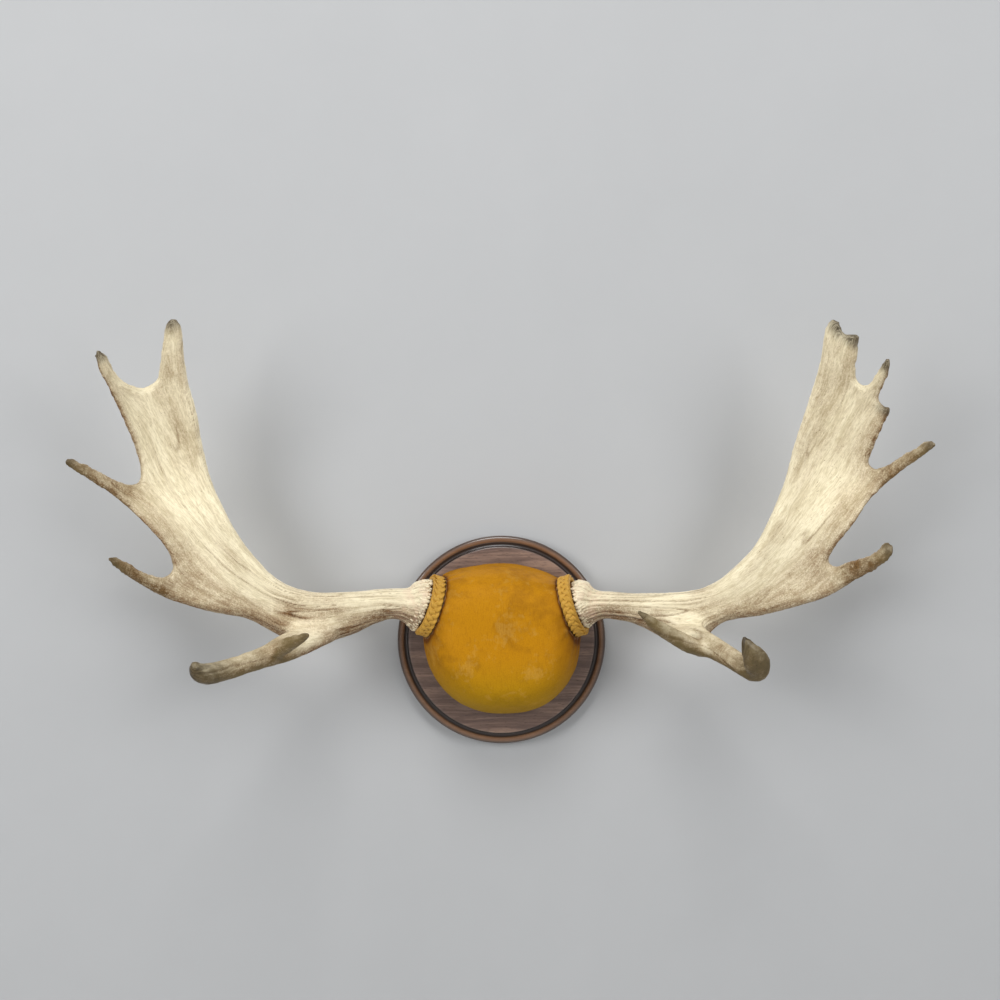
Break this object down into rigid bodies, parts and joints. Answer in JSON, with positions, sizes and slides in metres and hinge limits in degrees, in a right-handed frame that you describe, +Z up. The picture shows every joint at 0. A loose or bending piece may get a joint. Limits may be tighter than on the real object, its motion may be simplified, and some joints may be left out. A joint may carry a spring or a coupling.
{
  "type": "moose antler wall mount",
  "caption": "Pair of moose antlers on a leather-covered skull plate with braided leather rings, fixed on a round turned walnut plaque that hangs on a wall.",
  "frame": {"origin": "centre of the plaque's flat back face, on the wall", "axes": "+X to the viewer's right along the antlers' spread, +Y into the wall, +Z up"},
  "size_m": [0.9576, 0.261, 0.5007],
  "materials": {
    "antler": "dry antler bone, cream palms with brown-stained grooves and grey-brown tips",
    "skull_bone": "bare bone and filler, hidden under the leather",
    "leather": "golden tan nubuck",
    "braid": "natural tan braided lace",
    "walnut": "satin lacquered walnut",
    "steel": "zinc plated"
  },
  "bodies": {
    "root": {"left_beam": "antler", "left_palm": "antler", "left_brow_palm": "antler", "left_brow_point": "antler", "left_lower_tine": "antler", "left_middle_tine": "antler", "right_beam": "antler", "right_palm": "antler", "right_brow_palm": "antler", "right_brow_point": "antler", "right_lower_tine": "antler", "right_middle_tine": "antler", "skull_form": "skull_bone", "leather_cover": "leather", "left_braid": "braid", "right_braid": "braid", "plaque": "walnut", "left_mounting_screw": "steel", "right_mounting_screw": "steel", "hanger_plate": "steel", "left_hanger_nail": "steel", "right_hanger_nail": "steel"}
  },
  "joints": []
}
